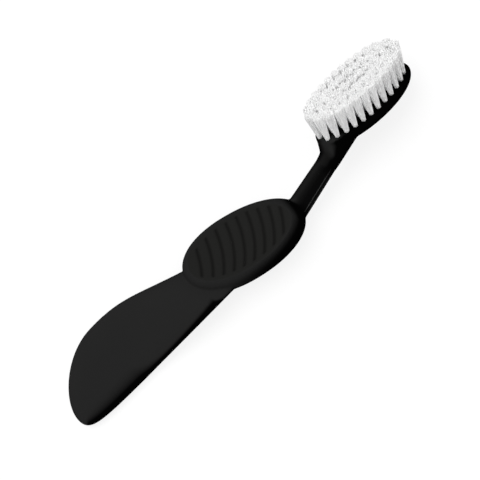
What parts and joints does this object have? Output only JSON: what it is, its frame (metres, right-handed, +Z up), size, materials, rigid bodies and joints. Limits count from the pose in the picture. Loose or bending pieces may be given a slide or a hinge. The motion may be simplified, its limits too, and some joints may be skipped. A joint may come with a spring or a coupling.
{
  "type": "toothbrush",
  "caption": "Adult toothbrush: a flat flared wing twists into an oval grip with a dished, grooved thumb pad, then a slim neck and a leaning oval head of white tufts.",
  "frame": {"origin": "on the flat back of the wing, 25 mm from the tail, at the height of the table the brush lies on", "axes": "+X from the tail towards the head, +Z up from the flat back, +Y towards the wing's curved edge"},
  "size_m": [0.1928, 0.0372, 0.0314],
  "materials": {
    "handle_plastic": "satin black moulded plastic, glossier on the neck and head",
    "nylon": "white, slightly translucent nylon filament",
    "anchor_brass": "rolled strip"
  },
  "bodies": {
    "root": {"handle": "handle_plastic", "tuft_1": "nylon", "tuft_2": "nylon", "tuft_3": "nylon", "tuft_4": "nylon", "tuft_5": "nylon", "tuft_6": "nylon", "tuft_7": "nylon", "tuft_8": "nylon", "tuft_9": "nylon", "tuft_10": "nylon", "tuft_11": "nylon", "tuft_12": "nylon", "tuft_13": "nylon", "tuft_14": "nylon", "tuft_15": "nylon", "tuft_16": "nylon", "tuft_17": "nylon", "tuft_18": "nylon", "tuft_19": "nylon", "tuft_20": "nylon", "tuft_21": "nylon", "tuft_22": "nylon", "tuft_23": "nylon", "tuft_24": "nylon", "tuft_25": "nylon", "tuft_26": "nylon", "tuft_27": "nylon", "tuft_28": "nylon", "tuft_29": "nylon", "tuft_30": "nylon", "tuft_31": "nylon", "tuft_32": "nylon", "tuft_33": "nylon", "tuft_34": "nylon", "tuft_35": "nylon", "tuft_36": "nylon", "tuft_37": "nylon", "tuft_38": "nylon", "tuft_39": "nylon", "tuft_40": "nylon", "tuft_41": "nylon", "tuft_42": "nylon", "tuft_43": "nylon", "tuft_44": "nylon", "tuft_45": "nylon", "tuft_46": "nylon", "tuft_47": "nylon", "tuft_48": "nylon", "tuft_49": "nylon", "tuft_50": "nylon", "tuft_51": "nylon", "tuft_52": "nylon", "tuft_53": "nylon", "anchors": "anchor_brass"}
  },
  "joints": []
}
